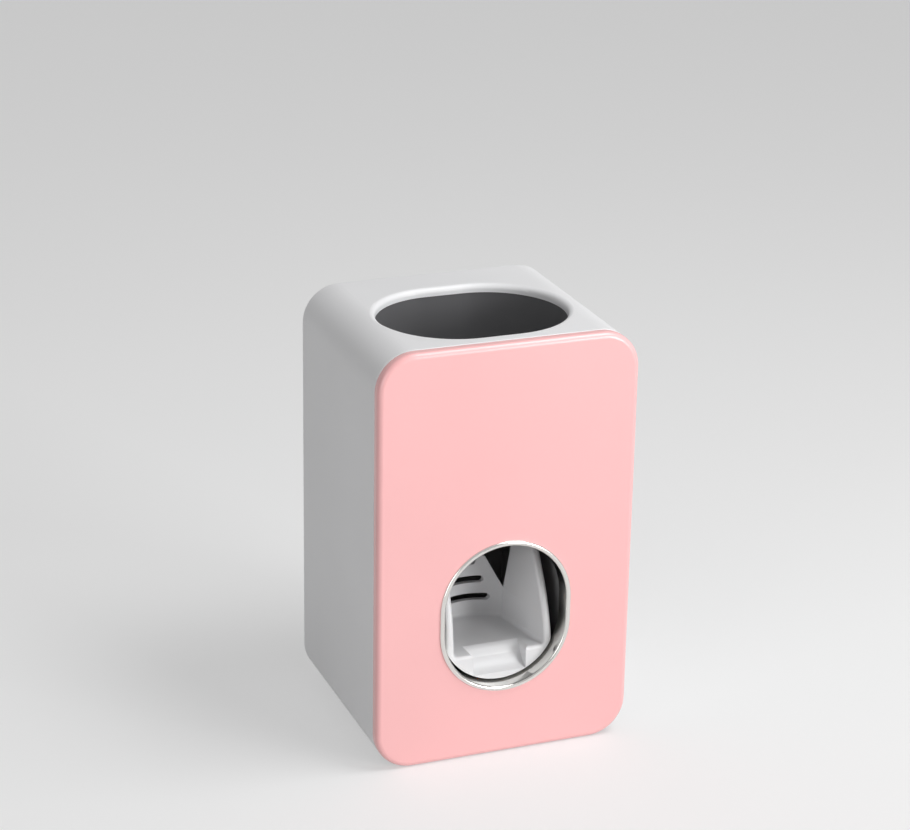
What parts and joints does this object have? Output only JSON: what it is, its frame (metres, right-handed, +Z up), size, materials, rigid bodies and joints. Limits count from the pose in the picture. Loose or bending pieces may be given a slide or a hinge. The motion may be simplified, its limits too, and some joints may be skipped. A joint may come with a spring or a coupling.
{
  "type": "toothpaste dispenser",
  "caption": "Wall-hung box that takes a toothpaste tube neck down in its top and doses paste when a brush pushes a lever behind the front window.",
  "frame": {"origin": "middle of the adhesive pad's wall face, at mid height of the housing", "axes": "+Y into the wall, +Z up, +X to the right of someone who faces the front panel"},
  "size_m": [0.062, 0.0544, 0.1002],
  "materials": {
    "bracket_white": "satin",
    "foam": "soft foam with an adhesive face",
    "casing_white": "semi-gloss",
    "cover_white": "satin",
    "steel": "plated",
    "frame_dark": "satin",
    "well_grey": "satin",
    "silicone": "translucent",
    "fitting_white": "satin",
    "spring_steel": "drawn wire",
    "lever_white": "semi-gloss",
    "panel_pink": "satin",
    "ring_chrome": "polished"
  },
  "bodies": {
    "wall_bracket": {"wall_bracket": "bracket_white", "adhesive_pad": "foam"},
    "housing": {"outer_casing": "casing_white", "back_cover": "cover_white", "back_cover_screws": "steel", "inner_frame": "frame_dark", "frame_screws": "steel", "tube_well": "well_grey", "neck_gasket": "silicone", "inlet_fitting": "fitting_white", "inlet_valve": "silicone", "pump_tube": "silicone", "pump_clamp_upper": "fitting_white", "pump_clamp_lower": "fitting_white", "outlet_valve": "silicone", "outlet_nozzle": "fitting_white", "pivot_pin_left": "steel", "pivot_pin_right": "steel", "return_spring_left": "spring_steel", "return_spring_right": "spring_steel"},
    "front_panel": {"front_panel": "panel_pink", "window_ring": "ring_chrome"},
    "push_lever": {"push_lever": "lever_white"}
  },
  "joints": [
    {"name": "lift_off", "type": "slide", "parent": "wall_bracket", "child": "housing", "axis": [0, 0, 1], "range_m": [0, 0.0085]},
    {"name": "panel_pull", "type": "slide", "parent": "housing", "child": "front_panel", "axis": [0, -1, 0], "range_m": [0, 0.02]},
    {"name": "lever_push", "type": "hinge", "parent": "housing", "child": "push_lever", "pos_m": [0, -0.036, 0.0179], "axis": [1, 0, 0], "range_deg": [0, 16], "stiffness_Nm_per_rad": 0.3, "springref_deg": -11.46, "deforming": ["pump_tube", "return_spring_left", "return_spring_right"]}
  ]
}
